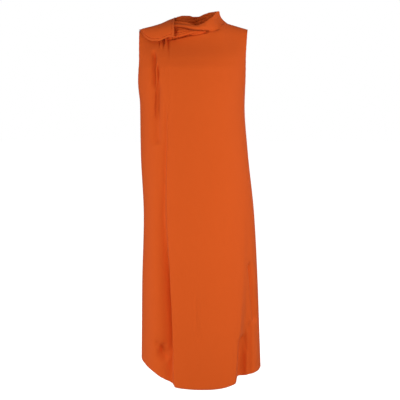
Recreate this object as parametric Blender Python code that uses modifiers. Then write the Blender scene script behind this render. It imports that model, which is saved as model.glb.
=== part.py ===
"""Tent dress, sleeveless, with a collar draped to the wearer's right shoulder.

Metres, +Z up. The front faces -Y and the wearer's left is +X. The origin is midway
between the shoulders, at the height of the neck ends of the shoulder seams.

Every cloth piece is a grid of points placed by a formula, then given its wall by a
Solidify modifier. The body is a stack of rings; folds push the cloth inwards from it.
"""

import bmesh
import bpy
import numpy as np

# Driving dimensions
HEM_Z = -1.192           # front hem below the shoulders
WALL = 0.0015            # cloth wall
SEAM = 0.0005            # gap between sewn pieces
SEAM_SHARE = 0.8         # how much of it each panel keeps clear of the seam line
SHOULDER_HALF = 0.181    # half the width across the shoulder tips
RIGHT_DROP = 0.0215      # how far the shoulder tips lie below the origin
LEFT_DROP = 0.0165
RIGHT_SAG = 0.0035       # the right seam hangs this much under the flap
NECK_HALF = 0.104        # half the width of the neckline
NECK_FRONT = 0.088       # depth of the neckline in front of the shoulder seams
NECK_BACK = 0.072        # and behind them
NECK_ROUND = 0.046       # height over which the body closes in on the neckline
TIP_ROUND = 0.105        # and on the shoulder seams
NECK_TO_TIP = (0.20, 0.55)          # the places across where one turns into the other
FOLD_MARGIN = 0.11       # folds fade out over this share of a panel beside its seams
ARMHOLE_FRONT = 0.045    # how far the armhole edge bows forwards
ARMHOLE_BACK = 0.050     # and backwards
BOW_REACH = 6            # the higher, the closer to the armhole edge that bow stays
HEM_RISE_BACK = 0.006    # how far the hem rises behind
FRONT_FLATNESS = 0.70    # power of the cosine that shapes half a ring; 1 is an ellipse
BACK_FLATNESS = 0.80

# The body, a row for each section: half widths to the wearer's right and left of the
# origin, depth in front and behind, and how far the side seams lie behind the origin.
SECTION_COLUMNS = ("z", "right", "left", "front", "back", "seam_right", "seam_left")
SECTIONS = (
    (0.00, 0.181, 0.181, 0.090, 0.072, 0.000, 0.000),
    (-0.04, 0.180, 0.177, 0.089, 0.078, 0.000, 0.000),
    (-0.12, 0.180, 0.174, 0.132, 0.097, 0.000, 0.000),
    (-0.15, 0.182, 0.174, 0.142, 0.102, 0.000, 0.000),
    (-0.19, 0.184, 0.174, 0.146, 0.106, 0.000, 0.000),
    (-0.27, 0.179, 0.172, 0.148, 0.108, 0.000, 0.000),
    (-0.42, 0.178, 0.183, 0.148, 0.112, 0.002, 0.006),
    (-0.64, 0.169, 0.207, 0.156, 0.128, 0.005, 0.018),
    (-0.88, 0.176, 0.221, 0.170, 0.152, 0.008, 0.030),
    (-1.19, 0.180, 0.234, 0.190, 0.184, 0.010, 0.040),
)

# How far the front hem rises above its lowest place: the drape lifts it at the right
HEM_COLUMNS = ("x", "rise")
HEM_RISE = (
    (-0.185, 0.0630), (-0.172, 0.0620), (-0.157, 0.0540), (-0.137, 0.0434), (-0.112, 0.0287),
    (-0.0935, 0.0203), (-0.075, 0.0112), (-0.0577, 0.0016), (-0.038, 0.0004), (0.000, 0.0000),
    (0.110, 0.0000), (0.136, 0.0085), (0.154, 0.0152), (0.171, 0.0182), (0.199, 0.0203),
    (0.235, 0.0210),
)

UNDERARM_RIGHT = -0.245
UNDERARM_LEFT = -0.205

# Folds that hang in the front, a row for each height of each fold: where its ridge
# is, how deep the cloth drops beside it, and over what widths it drops and returns.
# The first figure of a fold is the way it drops: -1 is to the right, 1 to the left.
FOLD_COLUMNS = ("z", "x", "depth", "drop", "tail")
FRONT_FOLDS = {
    # short and sharp, over the bust
    "short": (-1, (
        (0.00, -0.1100, 0.000, 0.004, 0.008),
        (-0.13, -0.1105, 0.000, 0.004, 0.008),
        (-0.16, -0.1095, 0.012, 0.004, 0.008),
        (-0.20, -0.1095, 0.012, 0.004, 0.008),
        (-0.26, -0.1120, 0.011, 0.004, 0.008),
        (-0.325, -0.1150, 0.000, 0.004, 0.010),
        (-1.19, -0.1100, 0.000, 0.006, 0.014),
    )),
    # long, from the gathers at the right shoulder to the hem
    "long": (-1, (
        (0.00, -0.0790, 0.000, 0.005, 0.010),
        (-0.30, -0.0800, 0.000, 0.005, 0.014),
        (-0.39, -0.0825, 0.006, 0.005, 0.018),
        (-0.49, -0.0855, 0.011, 0.005, 0.022),
        (-0.59, -0.0855, 0.020, 0.005, 0.026),
        (-0.68, -0.0820, 0.029, 0.006, 0.028),
        (-0.78, -0.0765, 0.037, 0.006, 0.030),
        (-0.87, -0.0735, 0.043, 0.006, 0.033),
        (-0.93, -0.0700, 0.045, 0.006, 0.036),
        (-1.06, -0.0655, 0.045, 0.006, 0.040),
        (-1.13, -0.0640, 0.036, 0.007, 0.042),
        (-1.19, -0.0600, 0.026, 0.008, 0.044),
    )),
    # the flare at the left hip
    "flare": (1, (
        (0.00, 0.1040, 0.000, 0.007, 0.030),
        (-0.06, 0.1200, 0.000, 0.007, 0.030),
        (-0.30, 0.1450, 0.000, 0.008, 0.035),
        (-0.60, 0.1660, 0.000, 0.010, 0.035),
        (-0.72, 0.1660, 0.008, 0.012, 0.035),
        (-0.86, 0.1600, 0.025, 0.015, 0.036),
        (-0.95, 0.1530, 0.045, 0.015, 0.040),
        (-1.045, 0.1465, 0.064, 0.014, 0.044),
        (-1.11, 0.1415, 0.076, 0.014, 0.045),
        (-1.19, 0.1365, 0.084, 0.014, 0.046),
    )),
}
RETURN_POWER = 1.15      # at 2 a fold comes back along a Gaussian; lower is sharper
VALLEY = 1.7             # a valley lies this many drops beside its ridge

# How many columns of the front's grid lie between one line of these and the next
FRONT_LINES = (
    ("right seam", 7), ("short valley", 2), ("short ridge", 6), ("long valley", 3),
    ("long ridge", 13), ("flare ridge", 3), ("flare valley", 6), ("left seam", 0),
)

BACK_NECK_COLUMNS = 16
BACK_SIDE_COLUMNS = 7

# The rows of a panel: where they lie at the side seams, and where it turns over above
LEVELS = (
    -1.19, -1.13, -1.06, -0.97, -0.86, -0.75, -0.65, -0.55, -0.46, -0.38, -0.31, -0.27,
    -0.247, -0.235, -0.207, -0.193, -0.165, -0.140,
)
TURN_DEGREES = (76, 62, 48, 34, 20, 8, 0)

# The grids of the small pieces: rows, or points along and across
BAND_ROWS = 7
FACING_ROWS = 4
TUCK_GRID = (19, 11)
FLAP_GRID = (17, 21)

FRONT_AT_TRIES = 16      # steps that bring a place across to a given x
SURFACE_STEP = 0.003     # how far apart the points are that give a surface's direction

# Gathers under the shoulder flap, a row each: place, lean, depth, width and length.
GATHER_COLUMNS = ("x", "lean", "depth", "width", "length")
GATHERS = (
    (-0.1080, -0.002, 0.005, 0.0045, 0.040),
    (-0.0960, -0.001, 0.006, 0.0050, 0.050),
    (-0.1300, 0.001, 0.009, 0.0110, 0.200),
)

# Soft flares in the back, a row each: place at the shoulder blades and at the hem,
# depth at the hem, width at the hem, and the height where it starts.
BACK_FLARE_COLUMNS = ("x_top", "x_hem", "depth", "width", "start")
BACK_FLARES = (
    (-0.105, -0.125, 0.034, 0.026, -0.34),
    (-0.020, -0.035, 0.026, 0.030, -0.48),
    (0.045, 0.060, 0.036, 0.028, -0.30),
    (0.120, 0.155, 0.030, 0.026, -0.42),
)

FLARE_START_WIDTH = 0.55  # a flare's width where it starts, as a share of that at the hem
FLARE_DEEPENING = 1.3     # over 1, a flare deepens slower at first

# The neckline, by angle round the neck: 0 is the front, 90 the wearer's left.
NECKLINE_COLUMNS = ("angle", "z")
NECKLINE = (
    (-90, -0.004), (-60, -0.008), (-30, -0.012), (-15, -0.017), (0, -0.022),
    (14, -0.0245), (30, -0.0265), (50, -0.0180), (70, -0.0050), (90, 0.006),
    (120, 0.009), (180, 0.006), (225, 0.003), (245, -0.001), (270, -0.004),
)

# The collar band, a row for each station round the neck. Its lower edge lies `down`
# below the neckline and `off` the panel; its upper edge is `top_out` from the
# neckline in plan; belly is its bulge between them.
BAND_COLUMNS = ("angle", "down", "off", "top_out", "top_z", "belly")
BAND = (
    (-66, 0.0070, 0.0070, 0.005, -0.0040, 0.0020),
    (-58, 0.0080, 0.0080, 0.005, -0.0042, 0.0028),
    (-42, 0.0080, 0.0085, 0.005, -0.0036, 0.0038),
    (-33, 0.0080, 0.0088, 0.005, -0.0030, 0.0042),
    (-20, 0.0066, 0.0088, 0.0045, -0.0052, 0.0045),
    (-10, 0.0056, 0.0085, 0.004, -0.0070, 0.0045),
    (4, 0.0045, 0.0080, 0.003, -0.0098, 0.0040),
    (16, 0.0030, 0.0055, -0.001, -0.0010, 0.0036),
    (30, 0.0008, 0.0020, -0.006, 0.0170, 0.0026),
    (52, 0.0000, 0.0000, -0.016, 0.0360, 0.0010),
    (72, 0.0000, 0.0000, -0.022, 0.0450, 0.0000),
    (80, 0.0000, 0.0000, -0.020, 0.0450, 0.0000),
    (90, 0.0000, 0.0000, -0.0165, 0.0425, 0.0000),
    (102, 0.0000, 0.0000, -0.0135, 0.0430, 0.0000),
    (116, 0.0000, 0.0000, -0.0165, 0.0460, 0.0000),
    (140, 0.0000, 0.0000, -0.018, 0.0445, 0.0010),
    (155, 0.0000, 0.0000, -0.016, 0.0400, 0.0012),
    (170, 0.0000, 0.0000, -0.014, 0.0318, 0.0015),
    (180, 0.0000, 0.0000, -0.014, 0.0316, 0.0015),
    (190, 0.0000, 0.0000, -0.014, 0.0352, 0.0015),
    (206, 0.0000, 0.0000, -0.018, 0.0335, 0.0000),
    (216, 0.0000, 0.0000, -0.020, 0.0275, 0.0000),
    (222, 0.0000, 0.0000, -0.021, 0.0215, 0.0000),
    (228, 0.0000, 0.0000, -0.022, 0.0145, 0.0000),
    (233, 0.0000, 0.0000, -0.020, 0.0110, 0.0000),
)
# Round the left side and the back of the neck the foot sweeps out over the shoulder:
# the angles where that starts, is full, fades and ends, and how far out it reaches
FLARE_ANGLES = (26, 52, 86, 116)
FLARE_OUT = 0.009
FLARE_LIFT = 0.0044      # clearance of its foot over the shoulder
FLARE_POWER = 2.2        # the higher, the sharper the band turns up from its foot

# The facing, where it parts from the band and shows above it: how far inside the
# band's upper edge its own is, how much higher, and how far down it reaches.
FACING_COLUMNS = ("angle", "inset", "lift", "fall")
FACING = (
    (-66, 0.0120, 0.0015, 0.018), (-58, 0.0150, 0.0040, 0.024),
    (-30, 0.0220, 0.0078, 0.034), (-10, 0.0180, 0.0060, 0.036),
    (4, 0.0070, 0.0010, 0.036), (14, 0.0030, -0.0010, 0.038), (30, 0.0022, -0.0010, 0.042),
    (60, 0.0022, -0.0010, 0.044), (90, 0.0022, -0.0010, 0.044), (170, 0.0020, -0.0010, 0.030),
    (222, 0.0020, -0.0010, 0.016), (233, 0.0020, -0.0010, 0.010),
)

# The tuck that falls from the left of the neck to the right shoulder, a row for
# each station: its hidden upper edge, its folded lower edge, and how far it stands off.
TUCK_COLUMNS = ("x", "top_z", "fold_z", "stand")
TUCK = (
    (0.050, -0.0275, -0.0325, 0.0050),
    (0.022, -0.0265, -0.0363, 0.0080),
    (-0.023, -0.0220, -0.0457, 0.0110),
    (-0.057, -0.0170, -0.0525, 0.0125),
    (-0.088, -0.0160, -0.0560, 0.0090),
)
TUCK_OFF = 0.0022        # its outer face this far off the front along the upper edge
TUCK_FALL = 0.55         # the share of its depth that falls before the fold turns under
TUCK_SWELL = 1.4         # over 1, it leaves the front slower at first

# The flap over the right shoulder, a row for each station from neck to shoulder tip:
# the ridge along the shoulder, the free edge in front and the edge behind.
FLAP_COLUMNS = (
    "x", "ridge_y", "ridge_z", "front_x", "front_y", "front_z", "back_x", "back_y", "back_z", "square",
)
FLAP = (
    (-0.0585, 0.035, 0.0250, -0.0595, -0.1130, -0.0536, -0.0440, 0.0800, 0.0020, 2.30),
    (-0.0690, 0.012, 0.0202, -0.0690, -0.1090, -0.0506, -0.0640, 0.0900, -0.0160, 2.30),
    (-0.0860, -0.015, 0.0120, -0.0800, -0.1040, -0.0508, -0.0840, 0.0930, -0.0300, 2.30),
    (-0.1040, -0.028, 0.0034, -0.0950, -0.0980, -0.0552, -0.1040, 0.0920, -0.0420, 2.30),
    (-0.1250, -0.031, -0.0040, -0.1120, -0.0890, -0.0598, -0.1250, 0.0860, -0.0500, 2.30),
    (-0.1400, -0.030, -0.0088, -0.1300, -0.0780, -0.0594, -0.1400, 0.0760, -0.0460, 2.30),
    (-0.1550, -0.026, -0.0122, -0.1450, -0.0660, -0.0544, -0.1540, 0.0600, -0.0370, 2.30),
    (-0.1690, -0.020, -0.0148, -0.1590, -0.0510, -0.0440, -0.1660, 0.0460, -0.0320, 2.30),
    (-0.1815, -0.012, -0.0190, -0.1735, -0.0250, -0.0255, -0.1775, 0.0260, -0.0280, 2.20),
)

CLOTH_COLOUR = (0.68, 0.105, 0.018, 1.0)
CLOTH_ROUGHNESS = 0.62


def column(table, columns, name):
    return np.array([row[columns.index(name)] for row in table], float)


def smooth(xs, ys, at):
    """A curve through (xs, ys) that doesn't overshoot them, read at `at`."""
    order = np.argsort(xs)
    xs, ys = np.asarray(xs, float)[order], np.asarray(ys, float)[order]
    at = np.clip(np.asarray(at, float), xs[0], xs[-1])
    step = np.diff(xs)
    slope = np.diff(ys) / step
    same_way = slope[1:] * slope[:-1] > 0
    total = np.where(same_way, slope[1:] + slope[:-1], 1.0)
    inner = np.where(same_way, 2 * slope[1:] * slope[:-1] / total, 0.0)
    tangent = np.concatenate([slope[:1], inner, slope[-1:]])
    i = np.clip(np.searchsorted(xs, at, side="right") - 1, 0, len(step) - 1)
    t = (at - xs[i]) / step[i]
    return (
        ys[i] * (1 + 2 * t) * (1 - t) ** 2
        + tangent[i] * step[i] * t * (1 - t) ** 2
        + ys[i + 1] * t * t * (3 - 2 * t)
        + tangent[i + 1] * step[i] * t * t * (t - 1)
    )


def read(table, columns, key, name, at):
    return smooth(column(table, columns, key), column(table, columns, name), at)


def ease(t):
    t = np.clip(t, 0, 1)
    return t * t * (3 - 2 * t)


def between(value, start, end):
    """0 up to the start, 1 from the end on, and an easy slope between them."""
    return ease((value - start) / (end - start))


def section(name, z):
    return read(SECTIONS, SECTION_COLUMNS, "z", name, z)


def neck_point(angle):
    """The neckline at an angle in degrees: an oval in plan, deeper in front."""
    a = np.radians(angle)
    deep = np.where(np.cos(a) > 0, NECK_FRONT, NECK_BACK)
    z = read(NECKLINE, NECKLINE_COLUMNS, "angle", "z", angle)
    return np.stack([NECK_HALF * np.sin(a), -deep * np.cos(a), z], -1)


def outwards(angle):
    a = np.radians(angle)
    return np.stack([np.sin(a), -np.cos(a), np.zeros_like(a)], -1)


NECK_SHARE = np.arcsin(NECK_HALF / SHOULDER_HALF) / (np.pi / 2)


def tip_height(across):
    return np.where(across < 0, -RIGHT_DROP, -LEFT_DROP)


def upper_edge(across, side):
    """The panel's upper edge: a shoulder seam, the neckline, a shoulder seam.
    `across` runs from -1 at the right to 1 at the left; side is -1 in front, 1 behind."""
    turn = 90 * np.clip(across / NECK_SHARE, -1, 1)
    neck = neck_point(turn if side < 0 else 180 - turn)
    along = SHOULDER_HALF * np.sin(np.pi / 2 * across)
    fall = (np.abs(along) - NECK_HALF) / (SHOULDER_HALF - NECK_HALF)
    start = read(NECKLINE, NECKLINE_COLUMNS, "angle", "z", 90 * np.sign(across))
    sag = np.where(across < 0, 4 * RIGHT_SAG * fall * (1 - fall), 0)
    seam = np.stack([along, 0 * along, start + (tip_height(across) - start) * fall - sag], -1)
    return np.where((np.abs(across) < NECK_SHARE)[..., None], neck, seam)


def hem_height(x, side):
    """The hem rises to both sides; behind, it lies level between them."""
    rise = read(HEM_RISE, HEM_COLUMNS, "x", "rise", x)
    if side > 0:
        middle = between(np.abs(x), SHOULDER_HALF, 0)
        rise = rise * (1 - middle) + HEM_RISE_BACK * middle
    return HEM_Z + rise


def half_width(across, z):
    return np.where(across < 0, section("right", z), section("left", z))


def ring(across, z, side):
    """x and y of half a ring: a sine across, and a flattened cosine from back to front.
    Above the underarm its edge bows away from the seam line, along half an oval."""
    seam = np.where(across < 0, section("seam_right", z), section("seam_left", z))
    deep = section("front" if side < 0 else "back", z)
    power = FRONT_FLATNESS if side < 0 else BACK_FLATNESS
    underarm = np.where(across < 0, UNDERARM_RIGHT, UNDERARM_LEFT)
    up = np.clip((z - underarm) / (tip_height(across) - underarm), 0, 1)
    bow = np.sqrt(up * (2 - up)) * (ARMHOLE_FRONT if side < 0 else ARMHOLE_BACK)
    x = half_width(across, z) * np.sin(np.pi / 2 * across)
    y = seam + (side * deep - seam) * np.cos(np.pi / 2 * across) ** power
    return x, y + side * bow * np.abs(across) ** BOW_REACH


def fold(name, key, z):
    return read(FRONT_FOLDS[name][1], FOLD_COLUMNS, "z", key, z)


def front_push(x, z, across, below):
    """How far the folds push the front in: each drops beside its ridge, then returns."""
    push = np.zeros_like(x)
    for name, (way, _) in FRONT_FOLDS.items():
        beside = np.maximum(way * (x - fold(name, "x", z)), 0)
        drop, tail = fold(name, "drop", z), fold(name, "tail", z)
        falls = 1 - np.exp(-((beside / drop) ** 2))
        returns = np.exp(-((np.maximum(beside - drop, 0) / tail) ** RETURN_POWER))
        push = push + fold(name, "depth", z) * falls * returns
    for place, lean, depth, width, length in GATHERS:
        down = np.clip(below / length, 0, 1)
        line = place + lean * down
        push = push + depth * np.exp(-(((x - line) / width) ** 2)) * between(down, 1, 0)
    return push * between(np.abs(across), 1, 1 - FOLD_MARGIN)


def back_push(x, z, across):
    """The back's flares, each a soft trough that deepens and widens towards the hem."""
    push = np.zeros_like(x)
    for x_top, x_hem, depth, width, start in BACK_FLARES:
        down = np.clip((start - z) / (start - HEM_Z), 0, 1)
        line = x_top + (x_hem - x_top) * down
        wide = width * (FLARE_START_WIDTH + (1 - FLARE_START_WIDTH) * down)
        push = push + depth * down**FLARE_DEEPENING * np.exp(-(((x - line) / wide) ** 2))
    return -push * between(np.abs(across), 1, 1 - FOLD_MARGIN)


def round_height(across):
    return NECK_ROUND + (TIP_ROUND - NECK_ROUND) * between(np.abs(across), *NECK_TO_TIP)


def panel(across, below, side):
    """A point of the front (side -1) or back (side 1), `below` its upper edge. Near
    that edge the ring closes in on it along a quarter of an ellipse."""
    edge = upper_edge(across, side)
    z = edge[..., 2] - below
    x, y = ring(across, z, side)
    if side < 0:
        y = y + front_push(x, z, across, below)
    else:
        y = y + back_push(x, z, across)
    close = 1 - np.clip(below / round_height(across), 0, 1)
    share = np.sqrt(1 - close * close)
    x = edge[..., 0] + (x - edge[..., 0]) * share
    y = edge[..., 1] + (y - edge[..., 1]) * share
    return np.stack([x, y + side * SEAM * SEAM_SHARE, z], -1)


def panel_grid(columns_at, side):
    """Where the panel's grid lies: the places across, and how far below the upper edge.
    columns_at(z) gives the place of every column at a height."""
    count = columns_at(np.array([0.0])).shape[-1]
    levels, tip = np.array(LEVELS), -RIGHT_DROP - TIP_ROUND
    down = np.append((levels - tip) / (levels[0] - tip), 0 * np.array(TURN_DEGREES))
    turn = np.radians(np.append(90 + 0 * levels, TURN_DEGREES))
    across = columns_at(np.linspace(HEM_Z, 0, len(down)))
    for _ in range(4):
        top = upper_edge(across, side)[..., 2]
        drop = round_height(across)
        tall = top - hem_height(hem_x(across), side)
        below = drop * (1 - np.cos(turn))[:, None] + (tall - drop) * down[:, None]
        z = top - below
        z[-1] = 0
        chosen = [columns_at(z[:, i])[:, i] for i in range(count)]
        across = np.stack(chosen, -1)
    return across, below


def hem_x(across):
    return half_width(across, np.full_like(across, HEM_Z)) * np.sin(np.pi / 2 * across)


def front_columns(z):
    """Columns that follow the folds: evenly spaced between one line and the next."""
    lines = []
    for line, _ in FRONT_LINES:
        name, part = line.split()
        if part == "seam":
            lines.append(np.full_like(z, 1.0 if name == "left" else -1.0))
            continue
        way = FRONT_FOLDS[name][0]
        x = fold(name, "x", z)
        if part == "valley":
            x = x + way * VALLEY * fold(name, "drop", z)
        half = half_width(x, z)
        lines.append(np.arcsin(x / half) / (np.pi / 2))
    lines = np.stack(lines, -1)
    stops = np.concatenate([[0], np.cumsum([columns for _, columns in FRONT_LINES[:-1]])])
    at = np.arange(stops[-1] + 1)
    return np.stack([np.interp(at, stops, row) for row in lines])


def back_columns(z):
    """Even columns across the neck, and even ones out to each side."""
    neck = np.linspace(-NECK_SHARE, NECK_SHARE, BACK_NECK_COLUMNS + 1)
    side = np.linspace(NECK_SHARE, 1, BACK_SIDE_COLUMNS + 1)[1:]
    return np.tile(np.concatenate([-side[::-1], neck, side]), (len(z), 1))


def neck_stations():
    """The angles of the panels' columns along the neckline, so that what stands on it
    has a corner wherever the neckline has one."""
    stations = []
    for columns_at, side in ((front_columns, -1), (back_columns, 1)):
        top = panel_grid(columns_at, side)[0][-1]
        turn = 90 * top[np.abs(top) < NECK_SHARE + 1e-6] / NECK_SHARE
        stations += list(turn if side < 0 else 180 - turn)
    stations = np.unique(np.round(stations, 6))
    inside = (stations > BAND[0][0]) & (stations < BAND[-1][0])
    return np.concatenate([[BAND[0][0]], stations[inside], [BAND[-1][0]]])


def cloth(name, points, flip=False):
    """A grid of points as an open sheet, thickened inwards to the cloth's wall."""
    rows, columns = points.shape[:2]
    mesh = bpy.data.meshes.new(name)
    bm = bmesh.new()
    bmesh.ops.create_grid(bm, x_segments=columns - 1, y_segments=rows - 1, size=1)
    bm.verts.ensure_lookup_table()
    for vertex, place in zip(bm.verts, points.reshape(-1, 3)):
        vertex.co = place
    if flip:
        bmesh.ops.reverse_faces(bm, faces=bm.faces)
    bmesh.ops.triangulate(bm, faces=bm.faces)
    bm.to_mesh(mesh)
    bm.free()
    mesh.shade_smooth()
    obj = bpy.data.objects.new(name, mesh)
    wall = obj.modifiers.new("wall", "SOLIDIFY")
    wall.thickness = WALL
    wall.offset = -1
    return obj


def front():
    return cloth("front", panel(*panel_grid(front_columns, -1), -1))


def back():
    return cloth("back", panel(*panel_grid(back_columns, 1), 1), flip=True)


def outward_of(across, below, side):
    """The panel's outward direction at a point of it."""
    step = SURFACE_STEP
    low = np.maximum(below, SEAM)
    aside = panel(across + step, low, side) - panel(across - step, low, side)
    down = panel(across, low + step, side) - panel(across, low, side)
    out = -side * np.cross(down, aside)
    return out / np.linalg.norm(out, axis=-1, keepdims=True)


def beside_neck(angle, distance):
    """The point of the body at a distance outside the neckline in plan."""
    goal = neck_point(angle) + outwards(angle) * distance[..., None]
    across = np.arcsin(np.clip(goal[..., 0] / SHOULDER_HALF, -1, 1)) / (np.pi / 2)
    points = []
    for side in (-1, 1):
        edge = upper_edge(across, side)
        wide = np.abs(ring(across, edge[..., 2], side)[1] - edge[..., 1]) + 1e-6
        share = np.clip(side * (goal[..., 1] - edge[..., 1]) / wide, 0, 1)
        points.append(panel(across, round_height(across) * (1 - np.sqrt(1 - share * share)), side))
    return np.where((np.cos(np.radians(angle)) > 0)[..., None], *points)


def band_point(angle, up):
    """The band from its lower edge (up 0) to its upper (up 1): it rises upright, then
    leans in, and bulges between them. Where its foot sweeps out, it leans in first."""
    def value(name):
        return read(BAND, BAND_COLUMNS, "angle", name, angle)

    feet = []
    for side, turn in ((-1, angle), (1, 180 - angle)):
        across = np.clip(turn / 90, -1, 1) * NECK_SHARE
        off = outward_of(across, value("down"), side) * value("off")[..., None]
        feet.append(panel(across, value("down"), side) + off)
    foot = np.where((np.cos(np.radians(angle)) > 0)[..., None], *feet)
    foot[..., 2] += SEAM * (1 + 2 * between(np.cos(np.radians(angle)), 0.3, 0))
    first, full, fading, last = FLARE_ANGLES
    flared = between(angle, first, full) * between(angle, last, fading)
    swept = beside_neck(angle, FLARE_OUT * flared)
    swept[..., 2] += FLARE_LIFT
    foot = foot + (swept - foot) * flared[..., None]
    head = neck_point(angle) + outwards(angle) * value("top_out")[..., None]
    head[..., 2] = value("top_z")
    inward = (1 - flared) * up**2 + flared * (1 - (1 - up) ** FLARE_POWER)
    share = np.stack([inward, inward, up], -1)
    bulge = value("belly") * np.sin(np.pi * up)
    return foot + (head - foot) * share + outwards(angle) * bulge[..., None]


def collar_band():
    grid = np.meshgrid(neck_stations(), np.linspace(0, 1, BAND_ROWS))
    return cloth("collar_band", band_point(*grid))


def collar_facing():
    grid_angle, down = np.meshgrid(neck_stations(), np.linspace(1, 0, FACING_ROWS))

    def value(name):
        return read(FACING, FACING_COLUMNS, "angle", name, grid_angle)

    place = band_point(grid_angle, np.ones_like(grid_angle))
    place = place - outwards(grid_angle) * value("inset")[..., None]
    place[..., 2] += value("lift") - value("fall") * down
    return cloth("collar_facing", place)


def front_at(x, z):
    """The point of the front's outer face at a given x and z, and its outward direction."""
    across = np.arcsin(np.clip(x / SHOULDER_HALF, -1, 1)) / (np.pi / 2)
    for _ in range(FRONT_AT_TRIES):
        below = np.maximum(upper_edge(across, -1)[..., 2] - z, 0)
        miss = x - panel(across, below, -1)[..., 0]
        across = across + miss / (2 * SHOULDER_HALF)
    below = np.maximum(upper_edge(across, -1)[..., 2] - z, 0)
    return panel(across, below, -1), outward_of(across, below, -1)


def front_tuck():
    """It lies on the front: from its upper edge it falls away from the panel, turns
    under in half a circle at the folded edge, and ends just clear of the panel."""
    stations = np.linspace(TUCK[0][0], TUCK[-1][0], TUCK_GRID[0])
    x, along = np.meshgrid(stations, np.linspace(0, 1, TUCK_GRID[1]))
    top = read(TUCK, TUCK_COLUMNS, "x", "top_z", x)
    crease = read(TUCK, TUCK_COLUMNS, "x", "fold_z", x)
    stand = read(TUCK, TUCK_COLUMNS, "x", "stand", x)
    bend = (stand - TUCK_OFF) / 2
    fall = np.clip(along / TUCK_FALL, 0, 1)
    turn = np.pi * np.clip((along - TUCK_FALL) / (1 - TUCK_FALL), 0, 1)
    z = top + (crease + bend - top) * fall - bend * np.sin(turn)
    off = TUCK_OFF + (stand - TUCK_OFF) * fall**TUCK_SWELL - bend * (1 - np.cos(turn))
    here, out = front_at(x, z)
    return cloth("front_tuck", here + out * off[..., None])


def shoulder_flap():
    """A saddle: superellipse arcs over the shoulder, from the free edge in front across
    the ridge to the edge behind, one for each station from the neck to the tip."""
    along = np.linspace(0, 1, FLAP_GRID[0])
    around = np.linspace(-1, 1, FLAP_GRID[1])
    grid_along, grid_around = np.meshgrid(along, around)
    stations = np.linspace(0, 1, len(FLAP))

    def value(name):
        return smooth(stations, column(FLAP, FLAP_COLUMNS, name), grid_along)

    front = grid_around < 0
    turn = np.pi / 2 * np.abs(grid_around)
    power = 2 / value("square")
    down = np.cos(turn) ** power
    to_side = np.sin(turn) ** power
    far_x = np.where(front, value("front_x"), value("back_x"))
    far_y = np.where(front, value("front_y"), value("back_y"))
    far_z = np.where(front, value("front_z"), value("back_z"))
    x = value("x") + (far_x - value("x")) * to_side
    y = value("ridge_y") + (far_y - value("ridge_y")) * to_side
    z = far_z + (value("ridge_z") - far_z) * down
    return cloth("shoulder_flap", np.stack([x, y, z], -1), flip=True)


def cloth_material(name):
    material = bpy.data.materials.new(name)
    material.use_nodes = True
    shader = material.node_tree.nodes["Principled BSDF"]
    shader.inputs["Base Color"].default_value = CLOTH_COLOUR
    shader.inputs["Roughness"].default_value = CLOTH_ROUGHNESS
    shader.inputs["Metallic"].default_value = 0.0
    return material


def main():
    for old in list(bpy.data.objects):
        bpy.data.objects.remove(old)
    dress = bpy.data.collections.new("tent_dress")
    bpy.context.scene.collection.children.link(dress)
    for make in (front, back, collar_band, collar_facing, front_tuck, shoulder_flap):
        piece = make()
        piece.data.materials.append(cloth_material(piece.name + "_cloth"))
        dress.objects.link(piece)


main()
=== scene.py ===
import bpy
import numpy as np
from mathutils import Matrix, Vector


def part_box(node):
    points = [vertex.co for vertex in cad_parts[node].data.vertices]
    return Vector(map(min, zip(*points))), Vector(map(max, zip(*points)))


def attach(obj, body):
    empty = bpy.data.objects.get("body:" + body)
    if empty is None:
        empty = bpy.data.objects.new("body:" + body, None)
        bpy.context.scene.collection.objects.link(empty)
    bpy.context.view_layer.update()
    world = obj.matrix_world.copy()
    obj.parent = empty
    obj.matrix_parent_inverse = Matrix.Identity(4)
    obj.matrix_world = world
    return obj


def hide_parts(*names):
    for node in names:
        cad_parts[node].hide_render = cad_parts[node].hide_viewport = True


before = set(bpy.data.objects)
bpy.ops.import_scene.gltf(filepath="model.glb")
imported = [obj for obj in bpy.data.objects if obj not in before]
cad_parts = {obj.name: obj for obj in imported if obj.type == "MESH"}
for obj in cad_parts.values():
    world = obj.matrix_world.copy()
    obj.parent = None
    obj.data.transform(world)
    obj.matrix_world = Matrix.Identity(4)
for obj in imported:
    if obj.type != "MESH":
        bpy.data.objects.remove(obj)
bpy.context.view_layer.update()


# A table is a dictionary: "columns" names its columns, and "rows" holds their numbers
def columnOf(table, name):
    return np.array([row[table["columns"].index(name)] for row in table["rows"]], float)


# A curve through (xs, ys) that never overshoots them: cubic pieces whose slope at a point is
# the harmonic mean of the slopes on both sides, or flat where those differ in sign
def smoothCurve(xs, ys, at):
    order = np.argsort(xs)
    xs, ys = np.asarray(xs, float)[order], np.asarray(ys, float)[order]
    at = np.clip(np.asarray(at, float), xs[0], xs[-1])
    step = np.diff(xs)
    slope = np.diff(ys) / step
    sameWay = slope[1:] * slope[:-1] > 0
    total = np.where(sameWay, slope[1:] + slope[:-1], 1.0)
    inner = np.where(sameWay, 2 * slope[1:] * slope[:-1] / total, 0.0)
    tangent = np.concatenate([slope[:1], inner, slope[-1:]])
    i = np.clip(np.searchsorted(xs, at, side="right") - 1, 0, len(step) - 1)
    t = (at - xs[i]) / step[i]
    return (
        ys[i] * (1 + 2 * t) * (1 - t) ** 2
        + tangent[i] * step[i] * t * (1 - t) ** 2
        + ys[i + 1] * t * t * (3 - 2 * t)
        + tangent[i + 1] * step[i] * t * t * (t - 1)
    )


# A column as a smooth curve over the table's first column
def readTable(table, name, at):
    return smoothCurve(columnOf(table, table["columns"][0]), columnOf(table, name), at)


# From 0 to 1, level at both ends: 3 t squared less 2 t cubed
def ease(t):
    t = np.clip(t, 0, 1)
    return t * t * (3 - 2 * t)


# 0 at start and before it, 1 at end and after it, an easy slope between
def between(value, start, end):
    return ease((value - start) / (end - start))


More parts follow.
